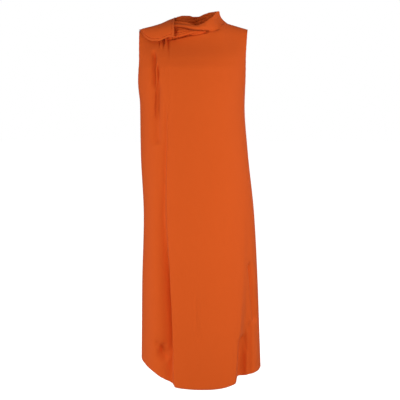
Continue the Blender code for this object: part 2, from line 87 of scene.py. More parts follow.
# 0 outside first and last, 1 from full to fading
def within(value, first, full, fading, last):
    return between(value, first, full) * between(value, last, fading)


# A bell curve: 1 at 0, a third of that a width away
def bell(distance, width):
    return np.exp(-((distance / width) ** 2))


# Vectors divided by their lengths
def unit(vectors):
    return vectors / np.maximum(np.linalg.norm(vectors, axis=-1, keepdims=True), 1e-12)


# The length from the first point of a grid, rows by columns by 3, along one of its axes: the
# running sum of the steps
def lengthAlong(points, axis):
    steps = np.linalg.norm(np.diff(points, axis=axis), axis=-1)
    return np.cumsum(np.insert(steps, 0, 0, axis=axis), axis=axis)


# The direction a grid faces: the cross product of its two tangents, times way
def facing(points, way):
    return way * unit(np.cross(np.gradient(points, axis=1), np.gradient(points, axis=0)))


turnAngles = (45, 90, 135)    # where a turned edge's half circle has points


# Columns past the left or right edge of a grid: half a circle as wide as the gap, then copies
# of the inner columns, moved in by the gap, which may vary along the edge
def turnedColumns(points, normals, gap, count, last):
    if last:
        points, normals = points[:, ::-1], normals[:, ::-1]
    out = unit(points[:, 0] - points[:, 1])
    edge = points[:, 0] - out * gap / 2
    rounds = []
    for angle in np.radians(turnAngles):
        reach = out * np.sin(angle) - normals[:, 0] * (1 - np.cos(angle))
        rounds.append(edge + reach * gap / 2)
    under = [points[:, k] - normals[:, k] * gap for k in range(1, count)]
    strip = np.stack([edge - normals[:, 0] * gap, *under], 1)
    strip = np.concatenate([strip[:, ::-1], np.stack(rounds[::-1], 1)], 1)
    points = np.concatenate([strip, edge[:, None], points[:, 1:]], 1)
    return points[:, ::-1] if last else points


# The same past the bottom edge
def turnedRows(points, normals, gap, count):
    points, normals = np.swapaxes(points, 0, 1), np.swapaxes(normals, 0, 1)
    return np.swapaxes(turnedColumns(points, normals, gap, count, False), 0, 1)


# The four corners of each face of a grid, as places in its list of points
def gridFaces(rows, columns):
    index = np.arange(rows * columns).reshape(rows, columns)
    return np.stack((index[:-1, :-1], index[:-1, 1:], index[1:, 1:], index[1:, :-1]), -1)


# An object in the scene, at the origin
def newObject(name, data):
    made = bpy.data.objects.new(name, data)
    bpy.context.scene.collection.objects.link(made)
    return made


# A sheet of cloth from a grid: faces in rows, texture coordinates in metres along the cloth,
# the rim attribute that fades from 1 at an edge, and a wall on the inner side
def clothObject(name, points, material, rim=None, flip=False, dropped=None):
    rows, columns = points.shape[:2]
    quads = gridFaces(rows, columns)
    if dropped is not None:
        quads = quads[~dropped]
    quads = quads.reshape(-1, 4)
    if flip:
        quads = quads[:, ::-1]
    mesh = bpy.data.meshes.new(name)
    mesh.from_pydata(points.reshape(-1, 3).tolist(), [], quads.tolist())
    u, v = lengthAlong(points, 1), lengthAlong(points, 0)
    u = u - u[:, columns // 2, None]
    coordinates = np.stack([u, v], -1).reshape(-1, 2)[quads.ravel()].astype(np.float32)
    mesh.uv_layers.new(name="cloth").uv.foreach_set("vector", coordinates.ravel())
    rim = np.zeros((rows, columns)) if rim is None else rim
    attribute = mesh.attributes.new("rim", "FLOAT", "POINT")
    attribute.data.foreach_set("value", rim.astype(np.float32).ravel())
    mesh.shade_smooth()
    mesh.materials.append(material)
    piece = newObject(name, mesh)
    thick = piece.modifiers.new("wall", "SOLIDIFY")
    thick.thickness = body["wall"]
    thick.offset = -1
    return piece


# How near each point of a grid is to one of its edges: 1 there, gone after reach
def nearEdge(points, reach, sides=("top", "bottom", "left", "right")):
    along, down = lengthAlong(points, 1), lengthAlong(points, 0)
    away = {"left": along, "right": along[:, -1:] - along, "bottom": down, "top": down[-1:] - down}
    return np.max([np.clip(1 - away[side] / reach, 0, 1) for side in sides], axis=0)


# What a piece of cloth rides on, and the part it stands for, which is hidden
def dressPiece(piece, node):
    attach(piece, "root")
    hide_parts(node)


# The body of the dress: a stack of rings
body = {
    "hem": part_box("front")[0].z,  # the front's lowest point
    "wall": 0.0007,               # the cloth
    "seamGap": 0.0002,
    "shoulderHalf": 0.181,
    "dropRight": 0.0215,          # how far the shoulder tips lie below the neck's ends
    "dropLeft": 0.0165,
    "neckHalf": 0.104,
    "neckFront": 0.088,
    "neckBack": 0.072,
    "neckRound": 0.046,           # height over which the body closes in on the neckline
    "tipRound": 0.105,            # and on the shoulder seams
    "neckToTip": (0.20, 0.55),    # where across one turns into the other
    "bowFront": 0.045,            # how far the armhole edges bow forwards and back
    "bowBack": 0.050,
    "bowReach": 6,
    "flatFront": 0.70,            # power of the cosine that shapes half a ring
    "flatBack": 0.80,
    "underarm": (-0.245, -0.205),    # right and left
    "foldMargin": 0.11,           # folds fade out over this share beside the seams
    "hemRiseBack": 0.006,         # the back hem's rise at its middle
    "rowsEven": 0.35,             # how even a panel's rows are; the rest draws up to the top
    "rowsDrawn": 1.6,
    "gridPasses": 4,
    "turn": 0.0016,               # seam and armhole edges turn under: the gap between plies
    "turnColumns": 5,
    "hemTurn": 0.0026,            # the hem turns up softer
    "hemTurnRows": 15,
    "rim": 0.012,                 # how far in from an edge the cloth is rubbed
    "collarRim": 0.006,
    "probe": 0.003,               # step and least depth of the points that tell which way it faces
    "probeDepth": 0.0005,
}


# The place across, from -1 to 1, where a sine half wide meets x
def acrossAt(x, half):
    return np.arcsin(np.clip(x / half, -1, 1)) / (np.pi / 2)


body["neckShare"] = acrossAt(body["neckHalf"], body["shoulderHalf"])

rings = {
    "columns": ("z", "right", "left", "front", "back", "seamRight", "seamLeft"),
    "rows": (
        (0, 0.181, 0.181, 0.090, 0.072, 0, 0),
        (-0.04, 0.180, 0.177, 0.089, 0.078, 0, 0),
        (-0.12, 0.180, 0.174, 0.130, 0.097, 0, 0),
        (-0.15, 0.182, 0.174, 0.142, 0.102, 0, 0),
        (-0.19, 0.184, 0.174, 0.146, 0.106, 0, 0),
        (-0.27, 0.179, 0.172, 0.148, 0.108, 0, 0),
        (-0.42, 0.178, 0.183, 0.148, 0.112, 0.002, 0.006),
        (-0.64, 0.169, 0.207, 0.156, 0.128, 0.005, 0.018),
        (-0.88, 0.176, 0.221, 0.170, 0.152, 0.008, 0.030),
        (-1.19, 0.180, 0.234, 0.190, 0.184, 0.010, 0.040),
    ),
}

# How far the hem lies above the front's lowest point, by x
hemRise = {
    "columns": ("x", "rise"),
    "rows": (
        (-0.185, 0.0630), (-0.172, 0.0620), (-0.157, 0.0540), (-0.137, 0.0434), (-0.112, 0.0287),
        (-0.1025, 0.0245), (-0.0935, 0.0203), (-0.0835, 0.0165), (-0.075, 0.0112), (-0.066, 0.0066),
        (-0.0577, 0.0030), (-0.048, 0.0014), (-0.038, 0.0004), (-0.020, -0.0008),
        (0.006, -0.0026), (0.060, -0.0040), (0.096, -0.0020), (0.116, 0.0016), (0.136, 0.0070),
        (0.154, 0.0124), (0.170, 0.0131), (0.186, 0.0153), (0.202, 0.0181), (0.218, 0.0206),
        (0.235, 0.0212),
    ),
}

# The neckline's height by angle round the neck: 0 is the front, 90 the wearer's left
neckline = {
    "columns": ("angle", "z"),
    "rows": (
        (-90, 0), (-60, -0.007), (-30, -0.012), (-15, -0.017), (0, -0.022),
        (14, -0.0245), (30, -0.0265), (50, -0.0180), (70, -0.0050), (90, 0.006),
        (120, 0.009), (180, 0.006), (240, 0.004), (270, 0),
    ),
}


# Level, away from the middle of the neck
def outwards(angle):
    a = np.radians(angle)
    return np.stack([np.sin(a), -np.cos(a), np.zeros_like(a)], -1)


# The neckline: an oval in plan, deeper in front
def neckPoint(angle):
    a = np.radians(angle)
    deep = np.where(np.cos(a) > 0, body["neckFront"], body["neckBack"])
    x, y = body["neckHalf"] * np.sin(a), -deep * np.cos(a)
    return np.stack([x, y, readTable(neckline, "z", angle)], -1)


# The height of the nearer shoulder tip
def tipHeight(across):
    return np.where(across < 0, -body["dropRight"], -body["dropLeft"])


# A panel's upper edge: a shoulder seam, the neckline, a shoulder seam. Across runs from -1 at
# the wearer's right to 1 at the left; side is -1 in front and 1 behind
def upperEdge(across, side):
    share = body["neckShare"]
    turn = 90 * np.clip(across / share, -1, 1)
    neck = neckPoint(turn if side < 0 else 180 - turn)
    along = body["shoulderHalf"] * np.sin(np.pi / 2 * across)
    fall = (np.abs(along) - body["neckHalf"]) / (body["shoulderHalf"] - body["neckHalf"])
    start = readTable(neckline, "z", 90 * np.sign(across))
    seam = np.stack([along, 0 * along, start + (tipHeight(across) - start) * fall], -1)
    return np.where((np.abs(across) < share)[..., None], neck, seam)


# The hem's height; behind, its rise turns into an even one towards the middle
def hemHeight(x, side):
    rise = readTable(hemRise, "rise", x)
    if side > 0:
        middle = between(np.abs(x), body["shoulderHalf"], 0)
        return body["hem"] + rise * (1 - middle) + body["hemRiseBack"] * middle
    return body["hem"] + rise


# Half the width of the ring at a height, at the right or the left
def halfWidth(across, z):
    return np.where(across < 0, readTable(rings, "right", z), readTable(rings, "left", z))


# Half a ring: x is a sine across, y a flattened cosine. Above the underarm the edge bows away
# from the seam line along half an oval
def ring(across, z, side):
    seam = np.where(across < 0, readTable(rings, "seamRight", z), readTable(rings, "seamLeft", z))
    deep = readTable(rings, "front" if side < 0 else "back", z)
    power = body["flatFront"] if side < 0 else body["flatBack"]
    underarm = np.where(across < 0, *body["underarm"])
    up = np.clip((z - underarm) / (tipHeight(across) - underarm), 0, 1)
    bow = np.sqrt(up * (2 - up)) * (body["bowFront"] if side < 0 else body["bowBack"])
    x = halfWidth(across, z) * np.sin(np.pi / 2 * across)
    y = seam + (side * deep - seam) * np.cos(np.pi / 2 * across) ** power
    return x, y + side * bow * np.abs(across) ** body["bowReach"]


# The height over which a ring closes in on the upper edge: from the neck's to the tip's
def roundHeight(across):
    outer = between(np.abs(across), *body["neckToTip"])
    return body["neckRound"] + (body["tipRound"] - body["neckRound"]) * outer


# The folds of the front. Each ridge line has a side on which the cloth drops away, over a
# width drop, by depth, and then comes back over a width tail; lean moves the drop back under
# the ridge
frontFolds = {
    "short": {
        "way": -1,
        "columns": ("z", "x", "depth", "drop", "tail", "lean"),
        "rows": (
            (0, -0.1100, 0, 0.0030, 0.0045, 0),
            (-0.130, -0.1105, 0, 0.0030, 0.0045, 0),
            (-0.152, -0.1100, 0.020, 0.0030, 0.0045, 0.002),
            (-0.170, -0.1085, 0.018, 0.0030, 0.0045, 0.002),
            (-0.200, -0.1095, 0.014, 0.0030, 0.0045, 0.001),
            (-0.255, -0.1120, 0.018, 0.0030, 0.0045, 0.002),
            (-0.295, -0.1135, 0.009, 0.0030, 0.0050, 0),
            (-0.325, -0.1150, 0, 0.0030, 0.0060, 0),
            (-1.190, -0.1100, 0, 0.0060, 0.0140, 0),
        ),
    },
    "long": {
        "way": -1,
        "columns": ("z", "x", "depth", "drop", "tail", "lean"),
        "rows": (
            (0, -0.0790, 0, 0.005, 0.010, 0),
            (-0.235, -0.0820, 0, 0.005, 0.018, 0),
            (-0.300, -0.0830, 0.006, 0.004, 0.020, 0.001),
            (-0.390, -0.0835, 0.009, 0.004, 0.022, 0.002),
            (-0.490, -0.0855, 0.013, 0.005, 0.024, 0.003),
            (-0.590, -0.0855, 0.021, 0.007, 0.026, 0.003),
            (-0.680, -0.0820, 0.029, 0.009, 0.028, 0.004),
            (-0.780, -0.0765, 0.037, 0.008, 0.030, 0.007),
            (-0.870, -0.0735, 0.043, 0.006, 0.033, 0.010),
            (-0.930, -0.0700, 0.045, 0.006, 0.036, 0.010),
            (-1.060, -0.0655, 0.045, 0.006, 0.040, 0.008),
            (-1.130, -0.0640, 0.036, 0.007, 0.042, 0.005),
            (-1.190, -0.0600, 0.026, 0.008, 0.044, 0.003),
        ),
    },
    "flare": {
        "way": 1,
        "columns": ("z", "x", "depth", "drop", "tail", "lean"),
        "rows": (
            (0, 0.1040, 0, 0.007, 0.030, 0),
            (-0.060, 0.1200, 0, 0.007, 0.030, 0),
            (-0.300, 0.1450, 0, 0.008, 0.035, 0),
            (-0.600, 0.1680, 0, 0.008, 0.035, 0),
            (-0.720, 0.1660, 0.008, 0.012, 0.035, 0),
            (-0.860, 0.1600, 0.017, 0.018, 0.038, 0.002),
            (-0.950, 0.1558, 0.036, 0.018, 0.044, 0.004),
            (-1.045, 0.1494, 0.060, 0.016, 0.051, 0.006),
            (-1.110, 0.1430, 0.075, 0.015, 0.051, 0.007),
            (-1.190, 0.1366, 0.084, 0.015, 0.052, 0.008),
        ),
    },
}
foldShape = {
    "valley": 1.7,    # how many drops a valley's line lies beside its ridge
    "tailPower": 1.15,
}

# Gathers under the shoulder flap. Each narrows on its way down, from start by narrowing
gathers = {
    "start": 1.35,
    "narrowing": 0.75,
    "columns": ("x", "lean", "depth", "width", "length"),
    "rows": (
        (-0.1080, -0.002, 0.034, 0.0030, 0.088),
        (-0.0960, -0.001, 0.054, 0.0040, 0.094),
        (-0.0860, 0.010, 0.016, 0.0031, 0.132),
        (-0.0606, 0, 0.032, 0.0042, 0.058),    # behind the flap's end
    ),
}

# Soft flares of the back, from the shoulder blades to the hem
backFlares = {
    "startWidth": 0.55,
    "deepening": 1.3,
    "columns": ("xTop", "xHem", "depth", "width", "start"),
    "rows": (
        (-0.105, -0.125, 0.034, 0.026, -0.34),
        (-0.020, -0.035, 0.026, 0.030, -0.48),
        (0.045, 0.060, 0.036, 0.028, -0.30),
        (0.120, 0.155, 0.030, 0.026, -0.42),
    ),
}


# The push of one fold: a rise to 1 over drop, beside the ridge, times a bell-shaped return
def foldPush(fold, x, z):
    beside = np.maximum(fold["way"] * (x - readTable(fold, "x", z)), 0)
    drop, tail = readTable(fold, "drop", z), readTable(fold, "tail", z)
    returns = np.exp(-((np.maximum(beside - drop, 0) / tail) ** foldShape["tailPower"]))
    return (1 - bell(beside, drop)) * returns


# How far the folds move the front back and aside; the gathers, bell-shaped, only back
def frontPush(x, z, across, below, plain):
    back, aside = np.zeros_like(x), np.zeros_like(x)
    for fold in frontFolds.values():
        push = foldPush(fold, x, z)
        back = back + readTable(fold, "depth", z) * push
        aside = aside - fold["way"] * readTable(fold, "lean", z) * push
    for place, lean, depth, width, length in () if plain else gathers["rows"]:
        down = np.clip(below / length, 0, 1)
        wide = width * (gathers["start"] - gathers["narrowing"] * down)
        back = back + depth * bell(x - place - lean * down, wide) * between(down, 1, 0)
    fade = between(np.abs(across), 1, 1 - body["foldMargin"])
    return back * fade, aside * fade


# How far the flares move the back out: bells round a line each, deeper and wider downwards
def backPush(x, z, across):
    push = np.zeros_like(x)
    for xTop, xHem, depth, width, start in backFlares["rows"]:
        down = np.clip((start - z) / (start - body["hem"]), 0, 1)
        line = xTop + (xHem - xTop) * down
        wide = width * (backFlares["startWidth"] + (1 - backFlares["startWidth"]) * down)
        push = push + depth * down ** backFlares["deepening"] * bell(x - line, wide)
    return -push * between(np.abs(across), 1, 1 - body["foldMargin"])


# A point of a panel, a height below its upper edge. Near that edge the ring closes in on it
# along a quarter of an ellipse. A plain panel has no gathers
def panelPoint(across, below, side, plain=False):
    edge = upperEdge(across, side)
    z = edge[..., 2] - below
    x, y = ring(across, z, side)
    if side < 0:
        back, aside = frontPush(x, z, across, below, plain)
        x, y = x + aside, y + back
    else:
        y = y + backPush(x, z, across)
    close = 1 - np.clip(below / roundHeight(across), 0, 1)
    share = np.sqrt(1 - close * close)
    x = edge[..., 0] + (x - edge[..., 0]) * share
    y = edge[..., 1] + (y - edge[..., 1]) * share
    return np.stack([x, y + side * body["seamGap"] / 2, z], -1)


# Where a panel's grid lies: rows from the hem up to where it starts to turn over, then rows
# at even angles of that turn. columnsAt(z) gives the place across of each column at a height
def panelGrid(columnsAt, side, rows, turnRows):
    straight = np.linspace(1, 0, rows)
    even = body["rowsEven"]
    straight = even * straight + (1 - even) * straight ** body["rowsDrawn"]
    down = np.append(straight, np.zeros(turnRows))
    turn = np.radians(np.append(90 + 0 * straight, np.linspace(90, 0, turnRows + 1)[1:]))
    across = columnsAt(np.linspace(body["hem"], 0, len(down)))
    for _ in range(body["gridPasses"]):
        top = upperEdge(across, side)[..., 2]
        drop = roundHeight(across)
        hemX = halfWidth(across, np.full_like(across, body["hem"])) * np.sin(np.pi / 2 * across)
        tall = top - hemHeight(hemX, side)
        below = drop * (1 - np.cos(turn))[:, None] + (tall - drop) * down[:, None]
        z = top - below
        across = np.stack([columnsAt(z[:, i])[:, i] for i in range(z.shape[1])], -1)
    return across, below


# Even steps from 0 to 1, drawn together at both ends
def gathered(count, pull=0.55):
    t = np.linspace(0, 1, count + 1)
    return t - pull * np.sin(2 * np.pi * t) / (2 * np.pi)


# The front's columns follow its folds: a line of the grid, and how many columns follow it
frontLines = (
    ("right seam", 26), ("short valley", 8), ("short ridge", 20), ("long valley", 11),
    ("long ridge", 56), ("flare ridge", 10), ("flare valley", 24), ("left seam", 0),
)


# The place across of each column at the heights z
def frontColumns(z):
    lines = []
    for line, _ in frontLines:
        name, part = line.split()
        if part == "seam":
            lines.append(np.full_like(z, 1.0 if name == "left" else -1.0))
            continue
        fold = frontFolds[name]
        x = readTable(fold, "x", z)
        if part == "valley":
            x = x + fold["way"] * foldShape["valley"] * readTable(fold, "drop", z)
        lines.append(acrossAt(x, halfWidth(x, z)))
    columns = [lines[0][:, None]]
    for k, (_, count) in enumerate(frontLines[:-1]):
        start, end = lines[k][:, None], lines[k + 1][:, None]
        columns.append(start + (end - start) * gathered(count)[1:])
    return np.concatenate(columns, 1)


backCounts = {"neck": 79, "side": 36}


# The back's columns: even across the neck, closer towards the seams
def backColumns(z):
    share = body["neckShare"]
    neck = np.linspace(-share, share, backCounts["neck"])
    side = share + (1 - share) * np.sin(np.pi / 2 * np.linspace(0, 1, backCounts["side"])[1:])
    return np.tile(np.concatenate([-side[::-1], neck, side]), (len(z), 1))


# Creases, each a soft trough from (x1, z1) to (x2, z2), bowed up by bend in the middle
frontCreases = {
    "columns": ("x1", "z1", "x2", "z2", "bend", "depth", "width"),
    "rows": (
        (-0.088, -0.0560, 0.046, -0.0254, 0, 0.0145, 0.0030),    # under the tuck
        (-0.056, -0.0145, -0.014, -0.0222, 0, 0.0050, 0.0028),   # under the collar's roll
        (-0.024, -0.0206, 0.050, -0.0268, -0.0020, 0.0200, 0.0038),
        (0.024, -0.0268, 0.072, -0.0272, -0.0006, 0.0016, 0.0026),
        (-0.014, -0.0418, 0.054, -0.0280, 0, 0.0095, 0.0032),
        (0.060, -0.0285, 0.097, -0.0060, -0.0030, 0.0030, 0.0026),    # beside the collar's foot
        (-0.1290, -0.086, -0.1280, -0.216, 0, 0.0195, 0.0064),   # beside the armhole
        (-0.1220, -0.190, -0.1190, -0.400, 0, 0.0110, 0.0140),
        (-0.0780, -0.130, -0.0750, -0.470, 0, 0.0014, 0.0090),   # beside the long fold
        (0.0080, -0.865, 0.0160, -1.035, 0, 0.0030, 0.0040),     # faint marks of the middle
        (0.0820, -0.726, 0.0880, -0.732, 0, 0.0012, 0.0040),
        (0.1880, -0.785, 0.2090, -1.005, 0, 0.0120, 0.0062),     # in the flare's recess
        (0.1750, -1.010, 0.1800, -1.110, 0, 0.0045, 0.0055),
        (0.1650, -1.030, 0.1665, -1.192, 0, 0.0120, 0.0145),
        (0.1900, -0.990, 0.1905, -1.192, 0, 0.0070, 0.0080),
        (-0.130, -1.042, -0.096, -1.080, -0.001, 0.0080, 0.0100),     # over the hem at the right
        (-0.119, -1.068, -0.076, -1.102, 0, 0.0150, 0.0200),
        (-0.114, -1.054, -0.094, -1.084, 0, 0.0050, 0.0060),
        (-0.112, -1.074, -0.084, -1.052, 0.002, 0.0055, 0.0070),
    ),
}
backCreases = {
    "columns": ("x1", "z1", "x2", "z2", "bend", "depth", "width"),
    "rows": (
        (-0.060, -0.300, -0.075, -0.520, 0, 0.0012, 0.010),
        (0.085, -0.820, 0.080, -0.960, 0, 0.0010, 0.007),
    ),
}
creaseEnd = (0.022, 0.4)    # it fades over this length, or this share of its own if less


# A crease: a bell across its line, fading out at both ends
def creaseDepth(creases, x, z):
    total = np.zeros_like(x)
    for x1, z1, x2, z2, bend, depth, width in creases["rows"]:
        long = np.hypot(x2 - x1, z2 - z1)
        alongX, alongZ = (x2 - x1) / long, (z2 - z1) / long
        along = (x - x1) * alongX + (z - z1) * alongZ
        bow = 4 * bend * np.clip(along / long, 0, 1) * np.clip(1 - along / long, 0, 1)
        across = (z - z1) * alongX - (x - x1) * alongZ - bow
        end = min(creaseEnd[0], creaseEnd[1] * long)
        ends = between(along, 0, end) * between(long - along, 0, end)
        total = total + depth * ends * bell(across, width)
    return total


relief = {
    "seed": 11,
    "waveCount": 7,
    "waveTurns": ((-2, 2), (0.6, 2.4)),    # turns across and down, in a third of a metre and in one
    "waveSizes": (0.5, 1.0),
    "waves": 0.0012,              # height of the slow waves
    "wavesFade": (0.12, 0.06),    # they fade below the upper edge and beside the seams
    "hemMark": 0.00022,           # the ridge where the turned-up hem ends inside
    "hemMarkUp": 0.080,
    "hemMarkWide": 0.0022,
    "hemMarkShown": (0.55, 0.45),    # mean and swing: it comes and goes
    "seamPucker": 0.00035,        # ripples beside the side seams
    "puckerLong": 0.019,
    "puckerUneven": 2.2,
    "puckerReach": 0.012,
    "puckerStart": 0.004,
}

# Slow, uneven waves over the whole cloth: sines along slightly turned directions
rng = np.random.default_rng(relief["seed"])
waves = [
    (rng.uniform(*relief["waveTurns"][0]), rng.uniform(*relief["waveTurns"][1]),
     rng.uniform(0, 6.28), rng.uniform(*relief["waveSizes"]))
    for _ in range(relief["waveCount"])
]


# Their mean, each at its own size
def slowWaves(x, z):
    total = np.zeros_like(x)
    for acrossTurns, downTurns, start, size in waves:
        total = total + size * np.sin(2 * np.pi * (x * acrossTurns * 3 + z * downTurns) + start)
    return total / len(waves)


# What moves a panel's points along its outward direction: the ridge over the hem, puckers beside
# the seams, creases and slow waves
def panelRelief(points, creases):
    x, z = points[..., 0], points[..., 2]
    up, along = lengthAlong(points, 0), lengthAlong(points, 1)
    toSeam = np.minimum(along, along[:, -1:] - along)
    mean, swing = relief["hemMarkShown"]
    shown = mean + swing * np.sin(x * 37 + 1.3) * np.sin(x * 91)
    mark = relief["hemMark"] * shown * bell(up - relief["hemMarkUp"], relief["hemMarkWide"])
    ripple = np.sin(2 * np.pi * z / relief["puckerLong"] + relief["puckerUneven"] * np.sin(z * 23))
    pucker = relief["seamPucker"] * ripple * np.exp(-toSeam / relief["puckerReach"])
    pucker = pucker * between(toSeam, 0, relief["puckerStart"])
    topFade, seamFade = relief["wavesFade"]
    away = between(up[-1:] - up, 0.0, topFade) * between(toSeam, 0, seamFade)
    return mark + pucker - creaseDepth(creases, x, z) + relief["waves"] * slowWaves(x, z) * away


# A panel's grid with its seam and armhole edges turned under and its hem turned up. The
# corners where both would lie on each other are left out
def panelCloth(name, columnsAt, side, rows, turnRows, creases, material):
    across, below = panelGrid(columnsAt, side, rows, turnRows)
    points = panelPoint(across, below, side)
    way = -side
    normals = facing(points, way)
    points = points + normals * panelRelief(points, creases)[..., None]
    normals = facing(points, way)
    turn, count = body["turn"], body["turnColumns"]
    added = count + len(turnAngles)
    addedRows = body["hemTurnRows"] + len(turnAngles)
    points = turnedColumns(points, normals, turn, count, False)
    normals = np.pad(normals, ((0, 0), (added, 0), (0, 0)), mode="edge")
    points = turnedColumns(points, normals, turn, count, True)
    normals = np.pad(normals, ((0, 0), (0, added), (0, 0)), mode="edge")
    rim = nearEdge(points, body["rim"], ("left", "right", "bottom"))
    points = turnedRows(points, normals, body["hemTurn"], body["hemTurnRows"])
    rim = np.pad(rim, ((addedRows, 0), (0, 0)))
    dropped = np.zeros((points.shape[0] - 1, points.shape[1] - 1), bool)
    dropped[:addedRows, :added] = True
    dropped[:addedRows, -added:] = True
    return clothObject(name, points, material, rim, flip=side > 0, dropped=dropped)


# A node group with named inputs and outputs, and its first and last nodes
def newGroup(name, inputs, outputs):
    group = bpy.data.node_groups.new(name, "ShaderNodeTree")
    for inOut, sockets in (("INPUT", inputs), ("OUTPUT", outputs)):
        for socketName, kind, value in sockets:
            socket = group.interface.new_socket(socketName, in_out=inOut, socket_type=kind)
            if value is not None:
                socket.default_value = value
    return group, group.nodes.new("NodeGroupInput"), group.nodes.new("NodeGroupOutput")


# A new node; an input is set from a number or linked from another node's output
def addNode(tree, kind, inputs=None, **settings):
    node = tree.nodes.new(kind)
    for key, value in settings.items():
        setattr(node, key, value)
    for key, value in (inputs or {}).items():
        if isinstance(value, bpy.types.NodeSocket):
            tree.links.new(value, node.inputs[key])
        else:
            node.inputs[key].default_value = value
    return node


# One operation on two values
def mathNode(tree, operation, first, second=0.0):
    return addNode(tree, "ShaderNodeMath", {0: first, 1: second}, operation=operation).outputs[0]


# First times share, plus added
def scaleAdd(tree, first, share, added):
    inputs = {0: first, 1: share, 2: added}
    return addNode(tree, "ShaderNodeMath", inputs, operation="MULTIPLY_ADD").outputs[0]


# Noise over a place, with scale turns in a metre
def noiseNode(tree, place, scale, detail):
    return addNode(tree, "ShaderNodeTexNoise", {"Vector": place, "Scale": scale, "Detail": detail})


# Two colours mixed: the first at share 0, the second at 1
def mixColours(tree, first, second, share):
    inputs = {6: first, 7: second, 0: share}
    return addNode(tree, "ShaderNodeMix", inputs, data_type="RGBA").outputs[2]


crepeYarn = {
    "bendScale": 420.0,    # noise that pushes the yarns about, and how far
    "bend": 0.0007,
    "pebbleScale": 1100.0,
    "weave": 0.35,         # the weave's share of the height
    # the weave's height, times toneShare plus toneLeast, is its painted shade: lighter on raised yarns,
    # darker in the dips
    "toneShare": 0.5,
    "toneLeast": 0.35,
}


# Crepe: plain weave of hard-twisted yarns. Two crossed sines give the yarns; noise pushes them
# about and raises the small pebbles that crepe has
def crepeGroup():
    group, start, end = newGroup(
        "crepeWeave",
        (("Place", "NodeSocketVector", None), ("Yarns", "NodeSocketFloat", 1900.0),
         ("Pebble", "NodeSocketFloat", 0.6)),
        (("Height", "NodeSocketFloat", None), ("Tone", "NodeSocketFloat", None)),
    )
    place, yarns, pebble = (start.outputs[name] for name in ("Place", "Yarns", "Pebble"))
    bend = noiseNode(group, place, crepeYarn["bendScale"], 1.0)
    shift = addNode(group, "ShaderNodeVectorMath",
                    {0: bend.outputs["Color"], "Scale": crepeYarn["bend"]}, operation="SCALE")
    moved = addNode(group, "ShaderNodeVectorMath", {0: place, 1: shift.outputs[0]}, operation="ADD")
    parts = addNode(group, "ShaderNodeSeparateXYZ", {0: moved.outputs[0]})
    turns = mathNode(group, "MULTIPLY", yarns, 2 * np.pi)
    warp, weft = (mathNode(group, "SINE", mathNode(group, "MULTIPLY", parts.outputs[k], turns))
                  for k in (0, 1))
    weave = mathNode(group, "MULTIPLY", warp, weft)
    pebbles = noiseNode(group, place, crepeYarn["pebbleScale"], 2.0)
    raised = mathNode(group, "MULTIPLY", pebbles.outputs["Fac"], pebble)
    height = mathNode(group, "ADD", mathNode(group, "MULTIPLY", weave, crepeYarn["weave"]), raised)
    # Painted shade: the height becomes the Tone output, lighter on raised yarns and darker in the dips
    shadeAndTone = scaleAdd(group, height, crepeYarn["toneShare"], crepeYarn["toneLeast"])
    group.links.new(height, end.inputs["Height"])
    group.links.new(shadeAndTone, end.inputs["Tone"])
    return group


# Handling: broad uneven tone and faint soft crumples, drawn out downwards, from noise on the
# object's place
def handlingGroup():
    group, start, end = newGroup(
        "handling",
        (("Place", "NodeSocketVector", None), ("Size", "NodeSocketFloat", 6.0)),
        (("Tone", "NodeSocketFloat", None), ("Crumple", "NodeSocketFloat", None)),
    )
    place, size = start.outputs["Place"], start.outputs["Size"]
    broad = noiseNode(group, place, size, 3.0)
    drawn = addNode(group, "ShaderNodeMapping", {"Vector": place, "Scale": (1.0, 1.0, 0.35)})
    fine = noiseNode(group, drawn.outputs[0], 55.0, 2.0)
    group.links.new(broad.outputs["Fac"], end.inputs["Tone"])
    group.links.new(fine.outputs["Fac"], end.inputs["Crumple"])
    return group


crepeLook = {
    # lit and shaded copies of the crepe colour, mixed by the weave's painted shade and by handling's
    # random broad tone
    "lit": (0.700, 0.102, 0.014, 1.0),
    "shaded": (0.660, 0.091, 0.012, 1.0),
    "worn": (0.700, 0.125, 0.026, 1.0),
    "toneShares": (0.45, 0.55),    # of the weave and of handling
    "wear": 0.5,                   # at the very edge; its power keeps it narrow
    "wearPower": 3.0,
    "roughness": 0.78,             # less by smooth where the weave stands up
    "smooth": 0.12,
    "bump": 0.12,
    "bumpDeep": 0.0004,
    "crumpleDeep": 0.004,
    "shader": {
        "Sheen Weight": 0.05,
        "Sheen Roughness": 0.45,
        "Sheen Tint": (1.0, 0.62, 0.40, 1.0),
        "Specular IOR Level": 0.15,
        "Specular Tint": (1.0, 0.55, 0.32, 1.0),
    },
}
groups = {"crepe": crepeGroup(), "handling": handlingGroup()}


